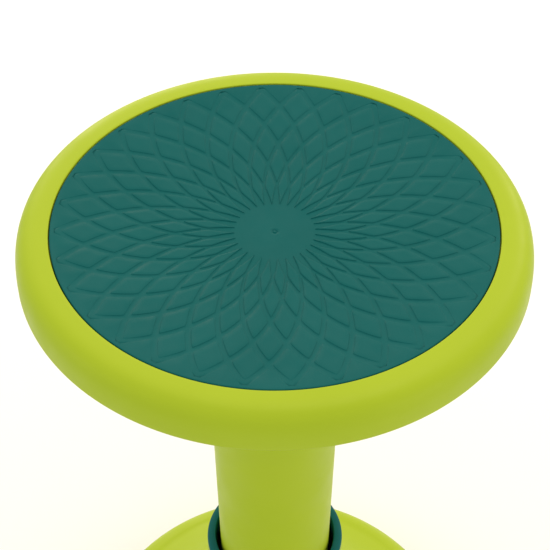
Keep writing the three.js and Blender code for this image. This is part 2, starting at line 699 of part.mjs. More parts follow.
place("seat_pad", seatPad(), tealRubber);
place("seat_shell", seatShell(), limePlastic);
place("seat_underside", seatUnderside(), limePlastic);
place("seat_plate", seatPlate(), steel);
place("column_sleeve", columnSleeve(), limePlastic);
place("lift_cylinder", liftCylinder(), chrome);
place("valve_body", valveBody(), steel);
place("rod_guide", ringOf(5.25, CYLINDER_BORE - 0.2, CYLINDER_BOTTOM + 2, CYLINDER_BOTTOM + 18), steel);
place("rod_seal", ringOf(5.2, CYLINDER_BORE - 0.3, CYLINDER_BOTTOM + 18.3, CYLINDER_BOTTOM + 23), darkRubber);
place("lever_pivot_pin", bar("y", PIVOT_PIN_RADIUS, -9.5, 9.5, PIVOT_X, PIVOT_HEIGHT), steel);
placeScrews("plate_bolt", PLATE_BOLTS, screw(PLATE_BOLT), PLATE_BOTTOM - GAP - PLATE_BOLT.headHeight);
placeScrews(
  "sleeve_screw",
  SLEEVE_SCREWS,
  screw(SLEEVE_SCREW),
  SLEEVE_TOP - FLANGE_THICKNESS - GAP - SLEEVE_SCREW.headHeight,
);
placeScrews("underside_screw", UNDERSIDE_SCREWS, screw(UNDERSIDE_SCREW), coneHeight(UNDERSIDE_SCREW_CIRCLE) - 0.8);

place("release_pin", releasePin(), chrome);
place("lever_arm", leverArm(), blackSteel);
place("lever_paddle", leverPaddle(), blackPlastic);

place("piston_rod", pistonRod(), chrome);
place("piston", piston(), steel);
place("piston_ring", ringOf(9.6, CYLINDER_BORE - 0.15, PISTON_BOTTOM + 5.3, PISTON_BOTTOM + 8.7), darkRubber);
place("bearing_upper_washer", ringOf(4.3, 18, TUBE_BOTTOM + 10.3, TUBE_BOTTOM + 13), steel);
place("bump_stop", ringOf(5.3, 18, TUBE_BOTTOM + 13.3, TUBE_BOTTOM + 23), darkRubber);
place("retaining_clip", retainingClip(), steel);

place("stand_tube", standTube(), blackSteel);
place("guide_bush", guideBush(), naturalNylon);
place("bearing_cage", bearingCage(), steel);
place("bearing_lower_washer", ringOf(4.4, 18, TUBE_BOTTOM + 4.3, TUBE_BOTTOM + 6.3), steel);
place("base_hub", baseHub(), castIron);
place("base_shell", baseShell(), limePlastic);
place("dust_collar", dustCollar(), tealRubber);
place("base_pan", basePan(), limePlastic);
place("ballast_ring", ballastRing(), castIron);
place("rubber_foot", rubberFoot(), darkRubber);
placeScrews("hub_bolt", HUB_BOLTS, screw(HUB_BOLT), 5.5);
placeScrews(
  "ballast_screw",
  BALLAST_SCREWS,
  screw(BALLAST_SCREW).rotateX(Math.PI),
  BALLAST_TOP + GAP + BALLAST_SCREW.headHeight,
);
placeScrews("base_screw", BASE_SCREWS, screw(BASE_SCREW), 17.5);

export default stool;
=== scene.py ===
"""Looks of the wobble stool: smooth moulded shells, a relief pad and metal fittings.

The studio floor, the light and the camera are here too.
"""
import math

import bmesh
import bpy
from mathutils import Matrix, Vector


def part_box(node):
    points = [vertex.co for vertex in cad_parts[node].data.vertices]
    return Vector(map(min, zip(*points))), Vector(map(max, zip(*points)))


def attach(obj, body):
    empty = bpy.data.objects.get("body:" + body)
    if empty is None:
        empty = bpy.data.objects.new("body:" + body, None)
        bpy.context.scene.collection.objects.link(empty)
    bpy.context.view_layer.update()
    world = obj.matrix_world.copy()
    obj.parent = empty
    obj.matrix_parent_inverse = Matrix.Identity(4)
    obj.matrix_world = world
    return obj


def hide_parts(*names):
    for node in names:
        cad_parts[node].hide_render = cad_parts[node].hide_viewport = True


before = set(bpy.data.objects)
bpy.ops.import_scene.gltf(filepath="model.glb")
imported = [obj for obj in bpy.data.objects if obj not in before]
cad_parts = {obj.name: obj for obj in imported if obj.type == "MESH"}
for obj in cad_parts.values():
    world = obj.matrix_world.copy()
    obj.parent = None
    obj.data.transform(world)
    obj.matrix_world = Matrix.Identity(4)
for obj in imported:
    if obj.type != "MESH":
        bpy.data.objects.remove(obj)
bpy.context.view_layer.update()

MM = 0.001

# ---------------------------------------------------------------- sizes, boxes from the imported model
SHELL_LOW, SHELL_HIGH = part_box("seat_shell")
PAD_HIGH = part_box("seat_pad")[1]
SLEEVE_LOW, SLEEVE_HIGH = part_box("column_sleeve")
BASE_LOW, BASE_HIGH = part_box("base_shell")
COLLAR_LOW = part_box("dust_collar")[0]
FOOT_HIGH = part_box("rubber_foot")[1]
UNDER_LOW, UNDER_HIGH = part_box("seat_underside")
ARM_LOW, ARM_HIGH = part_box("lever_arm")
PADDLE_LOW, PADDLE_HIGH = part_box("lever_paddle")

SEAT_TOP = SHELL_HIGH.z
SEAT_RADIUS = SHELL_HIGH.x
PAD_RADIUS = PAD_HIGH.x
RECESS_RADIUS = PAD_RADIUS + 0.8 * MM
DISH = 10.5 * MM
PAD_DROP = 0.3 * MM
PAD_THICKNESS = 6 * MM
WALL = 3.5 * MM
CROWN_POWER = 3.3  # superellipse power of the crowned rim
HUB_FACE = UNDER_LOW.z
HUB_FACE_RADIUS = 70 * MM
PLATE_TOP = SEAT_TOP - 43 * MM
PLATE_LOW = PLATE_TOP - 3 * MM
BASE_SEAM = 36 * MM
MOUTH_RADIUS = 57.5 * MM  # of the bell, outside
FOOT_THICKNESS = 5 * MM
FOOT_FLAT = 45 * MM
ROCKER = 420 * MM
PIVOT_X = 24 * MM
PIVOT_Z = SEAT_TOP - 33 * MM
LIFT_RADIUS = 14  # millimetres, like the rest of the gas lift's sizes
LIFT_BORE = 11.5
LIFT_TAPER = 0.015
LIFT_TAPER_START = SEAT_TOP / MM - 92

# ---------------------------------------------------------------- camera and light
CAMERA_DISTANCE = 0.961  # from the centre of the pad
CAMERA_ELEVATION = math.radians(42.14)
AIM_BELOW = math.radians(2.256)  # the frame's centre is this far below the pad's centre
LENS = 92.08
SENSOR = 36.0
CAMERA_YAW = -0.0003
AIM_HEIGHT = 0.55  # the lamps point at the axis at this height


def add_camera():
    centre = Vector((0, 0, SEAT_TOP - PAD_DROP))
    back = Vector((0, -math.cos(CAMERA_ELEVATION), math.sin(CAMERA_ELEVATION)))
    data = bpy.data.cameras.new("camera")
    data.lens = LENS
    data.sensor_width = SENSOR
    camera = bpy.data.objects.new("camera", data)
    camera.location = centre + back * CAMERA_DISTANCE
    pitch = CAMERA_ELEVATION + AIM_BELOW
    camera.rotation_euler = (math.pi / 2 - pitch, 0, CAMERA_YAW)
    bpy.context.scene.collection.objects.link(camera)
    bpy.context.scene.camera = camera


def add_area_light(name, place, size, power):
    data = bpy.data.lights.new(name, "AREA")
    data.shape = "DISK"
    data.size = size
    data.energy = power
    data.color = LAMP_COLOUR
    lamp = bpy.data.objects.new(name, data)
    lamp.location = place
    aim = Vector((0, 0, AIM_HEIGHT)) - Vector(place)
    lamp.rotation_euler = aim.to_track_quat("-Z", "Y").to_euler()
    bpy.context.scene.collection.objects.link(lamp)


LAMPS = (
    # name, place, size, power
    ("overhead", (0.3, 0.5, 2.7), 1.4, 14.2),
    ("key", (1.5, 1.9, 1.75), 0.8, 16.5),
    ("left", (-2.3, -0.3, 1.0), 1.2, 4.6),
    ("right", (2.0, -1.4, 0.5), 1.2, 7.0),
    ("back", (-0.8, 2.4, 1.2), 1.4, 18.5),
)
LAMP_COLOUR = (1.0, 0.79, 0.62)
SURROUND = 0.86
SURROUND_COLOUR = (1.0, 1.0, 0.985)


def add_studio():
    for name, place, size, power in LAMPS:
        add_area_light(name, place, size, power)
    world = bpy.data.worlds.new("studio")
    world.use_nodes = True
    background = world.node_tree.nodes["Background"]
    background.inputs["Color"].default_value = (*SURROUND_COLOUR, 1)
    background.inputs["Strength"].default_value = SURROUND
    bpy.context.scene.world = world
    bpy.context.scene.view_settings.view_transform = "Standard"


# ---------------------------------------------------------------- material helpers
def new_material(name, colour, roughness, metallic=0.0, **constants):
    """A Principled material. constants are sockets of the shader that are the same all over."""
    made = bpy.data.materials.new(name)
    made.use_nodes = True
    shader = made.node_tree.nodes["Principled BSDF"]
    shader.inputs["Base Color"].default_value = (*colour, 1)
    shader.inputs["Roughness"].default_value = roughness
    shader.inputs["Metallic"].default_value = metallic
    for socket, value in constants.items():
        shader.inputs[socket.replace("_", " ")].default_value = value
    return made


def add_node(tree, kind, **settings):
    node = tree.nodes.new(kind)
    for key, value in settings.items():
        setattr(node, key, value)
    return node


def noise(made, scale, detail=3.0, roughness=0.55, stretch=(1, 1, 1)):
    """Noise in the object's own metres; the same place always gets the same value."""
    tree = made.node_tree
    where = add_node(tree, "ShaderNodeTexCoord")
    mapping = add_node(tree, "ShaderNodeMapping")
    mapping.inputs["Scale"].default_value = stretch
    texture = add_node(tree, "ShaderNodeTexNoise")
    texture.inputs["Scale"].default_value = scale
    texture.inputs["Detail"].default_value = detail
    texture.inputs["Roughness"].default_value = roughness
    tree.links.new(where.outputs["Object"], mapping.inputs["Vector"])
    tree.links.new(mapping.outputs["Vector"], texture.inputs["Vector"])
    return texture.outputs["Fac"]


def ramp(made, value, low, high, from_low=0.3, from_high=0.7):
    """value, spread from low to high."""
    node = add_node(made.node_tree, "ShaderNodeMapRange")
    node.inputs["From Min"].default_value = from_low
    node.inputs["From Max"].default_value = from_high
    node.inputs["To Min"].default_value = low
    node.inputs["To Max"].default_value = high
    made.node_tree.links.new(value, node.inputs["Value"])
    return node.outputs["Result"]


def vary_colour(made, value, light, dark):
    node = add_node(made.node_tree, "ShaderNodeMix", data_type="RGBA")
    node.inputs[6].default_value = (*dark, 1)
    node.inputs[7].default_value = (*light, 1)
    made.node_tree.links.new(value, node.inputs[0])
    shader = made.node_tree.nodes["Principled BSDF"]
    made.node_tree.links.new(node.outputs[2], shader.inputs["Base Color"])


def vary_roughness(made, value):
    shader = made.node_tree.nodes["Principled BSDF"]
    made.node_tree.links.new(value, shader.inputs["Roughness"])


def bump(made, height, distance, strength=1.0):
    node = add_node(made.node_tree, "ShaderNodeBump")
    node.inputs["Distance"].default_value = distance
    node.inputs["Strength"].default_value = strength
    made.node_tree.links.new(height, node.inputs["Height"])
    shader = made.node_tree.nodes["Principled BSDF"]
    made.node_tree.links.new(node.outputs["Normal"], shader.inputs["Normal"])


# ---------------------------------------------------------------- materials
def make_lime_plastic():
    """Satin moulded polypropylene: faint flow mottling and a fine spark-eroded grain."""
    made = new_material("lime_plastic", (0.42, 0.49, 0.008), 0.42, Specular_IOR_Level=0.15)
    vary_colour(made, ramp(made, noise(made, 9, 4), 0, 1), (0.384, 0.500, 0.018), (0.364, 0.480, 0.015))
    vary_roughness(made, ramp(made, noise(made, 45, 3), 0.38, 0.50))
    bump(made, noise(made, 2400, 2, 0.5), 0.00002, 0.5)
    return made


def make_teal_rubber():
    """Soft matt elastomer: slight cloudiness, fine pebble grain."""
    made = new_material("teal_rubber", (0.008, 0.105, 0.095), 0.6, Specular_IOR_Level=0.1)
    vary_colour(made, ramp(made, noise(made, 22, 5), 0, 1), (0.0030, 0.107, 0.102), (0.0012, 0.099, 0.094))
    vary_roughness(made, ramp(made, noise(made, 80, 3), 0.52, 0.66))
    bump(made, noise(made, 1800, 3, 0.6), 0.00003, 0.6)
    return made


def make_dark_rubber():
    """Foot rubber: dusty black with scuffs."""
    made = new_material("dark_rubber", (0.02, 0.02, 0.021), 0.75)
    scuffs = ramp(made, noise(made, 60, 6, 0.7), 0, 1, 0.45, 0.75)
    vary_colour(made, scuffs, (0.05, 0.048, 0.045), (0.016, 0.016, 0.017))
    vary_roughness(made, ramp(made, noise(made, 120, 4), 0.62, 0.85))
    bump(made, noise(made, 1500, 3, 0.6), 0.00005, 0.6)
    return made


def make_metal(name, colour, dark, roughness, grain, stretch=(1, 1, 1), metallic=1.0):
    """Machined or plated metal with streaks along its length."""
    made = new_material(name, colour, roughness, metallic)
    vary_colour(made, ramp(made, noise(made, 70, 4), 0, 1), colour, dark)
    streaks = noise(made, grain, 3, 0.6, stretch)
    vary_roughness(made, ramp(made, streaks, roughness * 0.75, roughness * 1.35))
    bump(made, streaks, 0.00001, 0.4)
    return made


def make_cast_iron():
    made = new_material("cast_iron", (0.05, 0.05, 0.052), 0.7, 0.6)
    vary_colour(made, ramp(made, noise(made, 50, 6, 0.7), 0, 1), (0.075, 0.073, 0.07), (0.035, 0.035, 0.037))
    bump(made, noise(made, 700, 5, 0.65), 0.00025, 0.8)
    return made


def make_moulded(name, colour, dark, roughness):
    """Plain moulded plastic with a fine grain."""
    made = new_material(name, colour, roughness)
    vary_colour(made, ramp(made, noise(made, 40, 4), 0, 1), colour, dark)
    vary_roughness(made, ramp(made, noise(made, 90, 3), roughness * 0.85, roughness * 1.15))
    bump(made, noise(made, 2000, 2), 0.00003, 0.5)
    return made


LOOKS = {
    "lime_plastic": make_lime_plastic(),
    "teal_rubber": make_teal_rubber(),
    "dark_rubber": make_dark_rubber(),
    "zinc_steel": make_metal("zinc_steel", (0.60, 0.61, 0.62), (0.46, 0.47, 0.49), 0.32, 500),
    "chrome": make_metal("chrome", (0.80, 0.81, 0.82), (0.74, 0.75, 0.77), 0.12, 900, (1, 1, 0.05)),
    "black_steel": make_metal("black_steel", (0.03, 0.03, 0.032), (0.02, 0.02, 0.022), 0.42, 1200,
                              metallic=0.3),
    "cast_iron": make_cast_iron(),
    "nylon": make_moulded("nylon", (0.72, 0.69, 0.60), (0.66, 0.63, 0.54), 0.5),
    "black_plastic": make_moulded("black_plastic", (0.022, 0.022, 0.024), (0.014, 0.014, 0.016), 0.45),
}


# ---------------------------------------------------------------- mesh helpers
def finish_bare(name, bm):
    """A loose object from a bmesh, with its faces turned outwards."""
    mesh = bpy.data.meshes.new(name)
    bmesh.ops.recalc_face_normals(bm, faces=bm.faces)
    bm.to_mesh(mesh)
    bm.free()
    piece = bpy.data.objects.new(name, mesh)
    bpy.context.scene.collection.objects.link(piece)
    return piece


def smooth(piece, sharp):
    piece.data.shade_smooth()
    piece.data.set_sharp_from_angle(angle=math.radians(sharp))


def finish_mesh(name, bm, slot, body, replaced, sharp=35):
    """Turns a bmesh into a smooth-shaded piece that rides on a body and stands for CAD nodes."""
    piece = finish_bare(name, bm)
    smooth(piece, sharp)
    piece.data.materials.append(LOOKS[slot])
    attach(piece, body)
    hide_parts(*replaced)
    return piece


def turn(bm, outline, segments):
    """Adds the surface that a closed outline of (radius, height) points sweeps about Z."""
    rings = []
    for radius, height in outline:
        if radius < 1e-7:
            rings.append([bm.verts.new((0, 0, height))])
            continue
        angles = [2 * math.pi * i / segments for i in range(segments)]
        rings.append([bm.verts.new((radius * math.cos(a), radius * math.sin(a), height)) for a in angles])
    count = len(rings)
    for k in range(count):
        lower, upper = rings[k], rings[(k + 1) % count]
        if len(lower) == 1 and len(upper) == 1:
            continue
        for i in range(segments):
            j = (i + 1) % segments
            corners = [lower[i % len(lower)], lower[j % len(lower)],
                       upper[j % len(upper)], upper[i % len(upper)]]
            unique = list(dict.fromkeys(corners))
            bm.faces.new(unique)


def turned_piece(name, outline, slot, body, replaced, segments=192, sharp=35):
    bm = bmesh.new()
    turn(bm, outline, segments)
    return finish_mesh(name, bm, slot, body, replaced, sharp)


def arc(cr, cz, rr, rz, start, end, steps, power=2.0):
    """Points on a superellipse from angle start to end, in degrees."""
    points = []
    for i in range(steps + 1):
        a = math.radians(start + (end - start) * i / steps)
        c, s = math.cos(a), math.sin(a)
        x = math.copysign(abs(c) ** (2 / power), c)
        z = math.copysign(abs(s) ** (2 / power), s)
        points.append((cr + rr * x, cz + rz * z))
    return points


def bezier(p0, p1, p2, p3, steps):
    points = []
    for i in range(steps + 1):
        t = i / steps
        weights = ((1 - t) ** 3, 3 * t * (1 - t) ** 2, 3 * t * t * (1 - t), t ** 3)
        points.append(tuple(sum(w * p[k] for w, p in zip(weights, (p0, p1, p2, p3))) for k in (0, 1)))
    return points


def dished(radius, below):
    """Height of the dished surface that lies below the ring at its edge."""
    return SEAT_TOP - below - DISH * (1 - (radius / RECESS_RADIUS) ** 2)


def dish_points(start, end, below, steps):
    radii = [start + (end - start) * i / steps for i in range(steps + 1)]
    return [(r, dished(r, below)) for r in radii]


def cone_drum(bm, x, y, low_radius, high_radius, low, high, segments=32):
    """A closed cone, cut off at both ends, along Z."""
    made = bmesh.ops.create_cone(bm, cap_ends=True, segments=segments,
                                 radius1=low_radius, radius2=high_radius, depth=high - low)
    bmesh.ops.translate(bm, verts=made["verts"], vec=(x, y, (low + high) / 2))


def drum(bm, x, y, radius, low, high, segments=32):
    """A closed cylinder along Z."""
    cone_drum(bm, x, y, radius, radius, low, high, segments)


def rounded_box(bm, low, high, radius, steps=5):
    """A closed box whose four upright edges are rounded."""
    points = []
    for cx, cy, start in ((high[0] - radius, high[1] - radius, 0), (low[0] + radius, high[1] - radius, 90),
                          (low[0] + radius, low[1] + radius, 180), (high[0] - radius, low[1] + radius, 270)):
        for i in range(steps + 1):
            a = math.radians(start + 90 * i / steps)
            points.append((cx + radius * math.cos(a), cy + radius * math.sin(a)))
    bottom = [bm.verts.new((x, y, low[2])) for x, y in points]
    top = [bm.verts.new((x, y, high[2])) for x, y in points]
    bm.faces.new(bottom[::-1])
    bm.faces.new(top)
    count = len(points)
    for i in range(count):
        j = (i + 1) % count
        bm.faces.new((bottom[i], bottom[j], top[j], top[i]))


def combine(piece, fill, operation):
    """Joins to the piece, or cuts from it, what fill(bmesh) draws: closed bodies that stay apart."""
    bm = bmesh.new()
    fill(bm)
    bmesh.ops.recalc_face_normals(bm, faces=bm.faces)
    mesh = bpy.data.meshes.new("cutter")
    bm.to_mesh(mesh)
    bm.free()
    cutter = bpy.data.objects.new("cutter", mesh)
    bpy.context.scene.collection.objects.link(cutter)
    change = piece.modifiers.new("change", "BOOLEAN")
    change.operation = operation
    change.solver = "EXACT"
    change.object = cutter
    bpy.context.view_layer.update()
    result = bpy.data.meshes.new_from_object(piece.evaluated_get(bpy.context.evaluated_depsgraph_get()))
    bm = bmesh.new()
    bm.from_mesh(result)
    bmesh.ops.dissolve_degenerate(bm, dist=0.002 * MM, edges=bm.edges)
    bm.to_mesh(result)
    bm.free()
    piece.modifiers.clear()
    old = piece.data
    piece.data = result
    bpy.data.meshes.remove(old)
    bpy.data.objects.remove(cutter)
    bpy.data.meshes.remove(mesh)


def around(count, radius, first=0.0):
    """Places at equal angles round the axis."""
    angles = [math.radians(first + 360 * i / count) for i in range(count)]
    return [(radius * math.cos(a), radius * math.sin(a)) for a in angles]


UNDERSIDE_CIRCLE = 138 * MM
PLATE_CIRCLE = 58 * MM
SLEEVE_SCREWS = around(4, 61 * MM)
UNDERSIDE_SCREWS = around(6, UNDERSIDE_CIRCLE, 30)
PLATE_BOLTS = around(4, PLATE_CIRCLE, 45)
PAD_STUDS = around(6, 120 * MM)
HUB_BOLTS = around(4, 50 * MM, 45)
BALLAST_SCREWS = around(3, 103 * MM)
BASE_SCREWS = around(6, 156 * MM, 30)


# ---------------------------------------------------------------- seat pad with its rosette relief
PETALS = 32  # circles in the rosette, through the pad's centre
CIRCLE = 1.523 * 154 * MM  # their diameter
STEP = math.pi / PETALS  # half the angle between neighbouring circles
PHASE = math.radians(-1.62)  # how far the rosette is turned on the seat
GROOVE = 0.195  # share of a cell that its groove takes
RELIEF = 0.53 * MM
FADE_START = 0.86
FADE_END = 0.972
FADE_SHARE = 0.8
SIDE_POINTS = 7  # points along each side of a cell
SQUARE = 40  # corner power of an outline that stays square
# the groove's side: (how far past the cell's edge, share of the groove's depth)
GROOVE_SIDE = ((0.022, 1), (0.008, 0.8), (-0.006, 0.2), (-0.025, 0))


def groove_depth(radius):
    """Share of the full depth: the grooves run out towards their tips at the border."""
    past = (radius / PAD_RADIUS - FADE_START) / (FADE_END - FADE_START)
    return 1 if radius > FADE_END * PAD_RADIUS else 1 - FADE_SHARE * max(0, past)


def rosette_radius(turned_by):
    return CIRCLE * math.sin(turned_by)


def on_rosette(radius, angle):
    """A place on the pad, with angle counted from the turned rosette."""
    return radius * math.cos(angle + PHASE), radius * math.sin(angle + PHASE)


class PadBuilder:
    """Builds the pad's top from cells between the circles, sharing vertices that coincide."""

    def __init__(self):
        self.bm = bmesh.new()
        self.known = {}

    def vertex(self, angle, radius, sunk):
        x, y = on_rosette(radius, angle)
        key = (round(x, 6), round(y, 6))
        if key not in self.known:
            z = dished(radius, PAD_DROP) - sunk * groove_depth(radius)
            self.known[key] = self.bm.verts.new((x, y, z))
        return self.known[key]

    def face(self, corners):
        unique = list(dict.fromkeys(corners))
        if len(unique) > 2 and not self.bm.faces.get(unique):
            self.bm.faces.new(unique)

    def ring_pair(self, outer, inner):
        count = len(outer)
        for i in range(count):
            j = (i + 1) % count
            self.face([outer[i], outer[j], inner[j % len(inner)], inner[i % len(inner)]])

    def cell(self, middle, layer):
        """A raised cell, between the inner and the outer crossing of its circles."""
        sides = cell_outline()
        rings = []
        top = 1 - GROOVE
        steps = [(1, RELIEF, SQUARE)]
        for (past, share), power in zip(GROOVE_SIDE, (26, 22, 20, 18)):
            steps.append((top + past, RELIEF * share, power))
        steps.append((top * 0.55, 0, 8))
        for scale, sunk, power in steps:
            ring = []
            for a, b in sides:
                if power < SQUARE:
                    a, b = rounded(a, b, power)
                u, v = a * scale * STEP, b * scale * STEP
                radius = rosette_radius(layer * STEP + (v - u) / 2)
                ring.append(self.vertex(middle + (u + v) / 2, radius, sunk))
            rings.append(ring)
        for outer, inner in zip(rings, rings[1:]):
            self.ring_pair(outer, inner)
        centre = self.vertex(middle, rosette_radius(layer * STEP), 0)
        self.ring_pair(rings[-1], [centre] * len(rings[-1]))

    def wedge(self, middle):
        """The sunken floor between two innermost cells, from the central disc to where the circles cross."""
        previous = None
        for t in range(SIDE_POINTS):
            turned_by = STEP * (1 + t / (SIDE_POINTS - 1))
            half = STEP * 2 - turned_by
            radius = rosette_radius(turned_by)
            row = [self.vertex(middle + half * k, radius, RELIEF) for k in (-1, 1)]
            if previous:
                self.face([previous[0], previous[1], row[1], row[0]])
            previous = row

    def gate_disc(self):
        """The smooth central disc and the moulding gate's ring-shaped mark at its middle."""
        start = rosette_radius(STEP)
        profile = ((start, 0), (15 * MM, 0), (8 * MM, 0), (4 * MM, 0), (2.4 * MM, -0.05 * MM),
                   (2.0 * MM, 0.45 * MM), (1.2 * MM, 0.5 * MM), (0.9 * MM, 0.05 * MM))
        rings = []
        for radius, sunk in profile:
            angles = [STEP * (2 * i + 1) for i in range(PETALS)]
            rings.append([self.vertex(a, radius, RELIEF + sunk) for a in angles])
        for outer, inner in zip(rings, rings[1:]):
            self.ring_pair(outer, inner)
        centre = self.vertex(0, 0, RELIEF)
        self.ring_pair(rings[-1], [centre] * PETALS)

    def border(self, first_layer):
        """The plain border outside the outermost grooves, whose tips make a zigzag."""
        offsets = [(0, RELIEF)] + [(GROOVE - past, RELIEF * share) for past, share in GROOVE_SIDE]
        rings = []
        for offset, sunk in offsets:
            ring = []
            for middle, share in zigzag():
                tip = min(share, 1 - offset * 0.35)
                ring.append(self.vertex(middle, rosette_radius(STEP * (first_layer + tip + offset)), sunk))
            rings.append(ring)
        edge = PAD_RADIUS
        rounding = ((0.978 * edge, 0), (edge - 1.2 * MM, 0), (edge - 0.6 * MM, 0.08 * MM),
                    (edge - 0.2 * MM, 0.3 * MM), (edge, 0.8 * MM))
        for radius, sunk in rounding:
            rings.append([self.vertex(middle, radius, sunk) for middle, _ in zigzag()])
        for outer, inner in zip(rings[1:], rings):
            self.ring_pair(outer, inner)
        return rings[-1]

    def underside(self, rim):
        """The pad's side and flat back."""
        angles = [middle for middle, _ in zigzag()]
        rings = [rim]
        for share in (1, 0.66, 0.33):
            radius = PAD_RADIUS * share
            height = dished(radius, PAD_DROP) - PAD_THICKNESS
            rings.append([self.bm.verts.new((*on_rosette(radius, a), height)) for a in angles])
        for outer, inner in zip(rings, rings[1:]):
            self.ring_pair(outer, inner)
        centre = self.bm.verts.new((0, 0, dished(0, PAD_DROP) - PAD_THICKNESS))
        self.ring_pair(rings[-1], [centre] * len(angles))


def cell_outline():
    """Corners and side points of the square from -1 to 1, once round, in the rosette's own coordinates."""
    steps = SIDE_POINTS - 1
    line = [-1 + 2 * i / steps for i in range(steps)]
    return ([(t, -1) for t in line] + [(1, t) for t in line]
            + [(-t, 1) for t in line] + [(-1, -t) for t in line])


def rounded(a, b, power):
    """Pulls a point of the square's outline in to a superellipse."""
    size = (abs(a) ** power + abs(b) ** power) ** (1 / power)
    return a / size, b / size


def zigzag():
    """Places round the outermost grooves: (angle, share of the way from inner corner to tip)."""
    steps = SIDE_POINTS - 1
    places = []
    for petal in range(PETALS):
        for i in range(2 * steps):
            places.append((2 * STEP * petal + STEP * i / steps, abs(1 - abs(1 - i / steps))))
    return places


def build_seat_pad():
    builder = PadBuilder()
    for petal in range(PETALS):
        for layer in range(2, 7):
            builder.cell(STEP * (2 * petal + (layer + 1) % 2), layer)
        builder.wedge(STEP * 2 * petal)
    builder.gate_disc()
    rim = builder.border(6)
    builder.underside(rim)
    pad = finish_mesh("pad", builder.bm, "teal_rubber", "seat", ["seat_pad"], sharp=60)


# ---------------------------------------------------------------- seat shell
def build_seat_shell():
    crown = 157 * MM
    equator = SEAT_TOP - 27 * MM
    lip = SHELL_LOW.z
    floor = PAD_DROP + PAD_THICKNESS + 0.3 * MM
    under = floor + WALL
    lip_radius = 152 * MM
    outline = (
        dish_points(0, RECESS_RADIUS - 1 * MM, under, 12)
        + [(RECESS_RADIUS + 3.2 * MM, SEAT_TOP - under), (RECESS_RADIUS + 3.2 * MM, SEAT_TOP - WALL)]
        + arc(crown, equator, SEAT_RADIUS - crown - WALL, 27 * MM - WALL, 90, 0, 20, CROWN_POWER)[1:]
        + bezier((174.5 * MM, equator), (174.5 * MM, equator - 3 * MM), (161 * MM, lip + 10.4 * MM),
                 (150 * MM, lip + 2.9 * MM), 12)[1:]
        + [(lip_radius - 2.4 * MM, lip + 2 * MM), (lip_radius - 2.4 * MM, lip + 0.7 * MM),
           (lip_radius - 2.0 * MM, lip + 0.15 * MM), (lip_radius - 1.2 * MM, lip)]
        + bezier((lip_radius, lip + 0.1 * MM), (163 * MM, lip + 7.5 * MM), (SEAT_RADIUS, equator - 4.5 * MM),
                 (SEAT_RADIUS, equator), 24)
        + arc(crown, equator, SEAT_RADIUS - crown, 27 * MM, 0, 90, 36, CROWN_POWER)[1:]
        + [(RECESS_RADIUS + 0.8 * MM, SEAT_TOP), (RECESS_RADIUS + 0.3 * MM, SEAT_TOP - 0.08 * MM),
           (RECESS_RADIUS + 0.08 * MM, SEAT_TOP - 0.3 * MM), (RECESS_RADIUS, SEAT_TOP - 0.7 * MM)]
        + dish_points(RECESS_RADIUS, 0, floor, 12)
    )
    shell = turned_piece("shell", outline, "lime_plastic", "seat", ["seat_shell"], 256, 50)
    rib_low = SEAT_TOP - 22 * MM
    buried = under - WALL / 2
    face = cone_height(UNDERSIDE_CIRCLE)

    def ribs(bm):
        for x, y in around(8, 1, 22.5):
            rib(bm, math.atan2(y, x), 62 * MM, 155.5 * MM, 3 * MM, rib_low, buried)

    def ring_rib(bm):
        turn(bm, [(60 * MM, rib_low), (63 * MM, rib_low), (63 * MM, dished(63 * MM, buried)),
                  (60 * MM, dished(60 * MM, buried))], 96)

    def bosses(bm):
        for x, y in PLATE_BOLTS:
            drum(bm, x, y, 8 * MM, PLATE_TOP + 0.3 * MM, dished(PLATE_CIRCLE, buried))
        for x, y in UNDERSIDE_SCREWS:
            drum(bm, x, y, 4.5 * MM, face + 4.3 * MM, dished(UNDERSIDE_CIRCLE, buried))

    def holes(bm):
        for x, y in PLATE_BOLTS:
            drum(bm, x, y, 3.2 * MM, PLATE_TOP - 1 * MM, PLATE_TOP + 17 * MM)
        for x, y in UNDERSIDE_SCREWS:
            drum(bm, x, y, 2.1 * MM, face, face + 16 * MM)
        for x, y in PAD_STUDS:
            drum(bm, x, y, 4.4 * MM, SEAT_TOP - 30 * MM, SEAT_TOP)

    combine(shell, ring_rib, "UNION")
    combine(shell, ribs, "UNION")
    combine(shell, bosses, "UNION")
    combine(shell, holes, "DIFFERENCE")
    smooth(shell, 42)


def rib(bm, angle, start, end, thick, low, below, steps=10):
    """A radial rib whose top follows the dish."""
    across = (-math.sin(angle) * thick / 2, math.cos(angle) * thick / 2)
    rows = []
    for i in range(steps + 1):
        r = start + (end - start) * i / steps
        x, y = r * math.cos(angle), r * math.sin(angle)
        top = dished(min(r, RECESS_RADIUS), below)
        rows.append([bm.verts.new((x + side * across[0], y + side * across[1], z))
                     for side, z in ((-1, low), (1, low), (1, top), (-1, top))])
    for one, other in zip(rows, rows[1:]):
        for k in range(4):
            bm.faces.new((one[k], one[(k + 1) % 4], other[(k + 1) % 4], other[k]))
    bm.faces.new(rows[0][::-1])
    bm.faces.new(rows[-1])


# ---------------------------------------------------------------- seat underside cover
def cone_height(radius):
    """Height of the cover's outer face: a shallow cone between the flat hub face and its edge."""
    edge = UNDER_HIGH.x
    rise = SEAT_TOP - 45.4 * MM - HUB_FACE
    return HUB_FACE + (radius - HUB_FACE_RADIUS) * rise / (edge - HUB_FACE_RADIUS)


